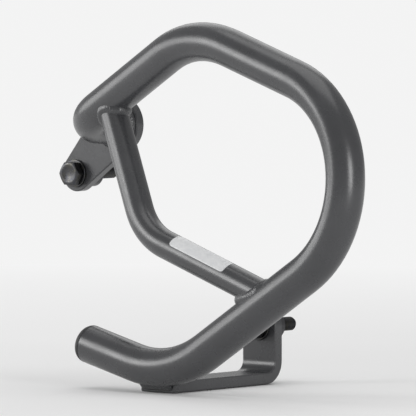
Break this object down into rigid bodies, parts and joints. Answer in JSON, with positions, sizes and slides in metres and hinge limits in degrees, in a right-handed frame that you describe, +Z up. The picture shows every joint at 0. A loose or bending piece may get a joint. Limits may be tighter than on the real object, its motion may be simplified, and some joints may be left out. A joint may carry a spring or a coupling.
{
  "type": "motorcycle crash bar",
  "caption": "Right-hand motorcycle crash bar: a bent tube hoop with a welded brace tube, an upper lug, a lower strap, mounting bolts and an end plug.",
  "frame": {"origin": "on the axis of the upper mounting bolt, in the face where the upper spacer meets the motorcycle", "axes": "+X forward on the motorcycle, +Y inward (to the motorcycle's left), +Z up"},
  "size_m": [0.3435, 0.176, 0.2577],
  "materials": {
    "powder_coat": "satin black powder coat",
    "pale_film": "plain pale grey film",
    "black_plastic": "moulded, fine grain",
    "black_zinc": "black zinc plate",
    "anodised_aluminium": "turned, black anodised"
  },
  "bodies": {
    "root": {"hoop_tube": "powder_coat", "brace_tube": "powder_coat", "weld_brace_head": "powder_coat", "weld_brace_foot": "powder_coat", "weld_upper_lug": "powder_coat", "weld_lower_strap": "powder_coat", "upper_lug": "powder_coat", "lower_strap": "powder_coat", "brace_strip": "pale_film", "end_plug": "black_plastic", "upper_bolt": "black_zinc", "upper_washer": "black_zinc", "upper_spacer": "anodised_aluminium", "lower_bolt": "black_zinc", "lower_washer": "black_zinc", "lower_spacer": "anodised_aluminium"}
  },
  "joints": []
}
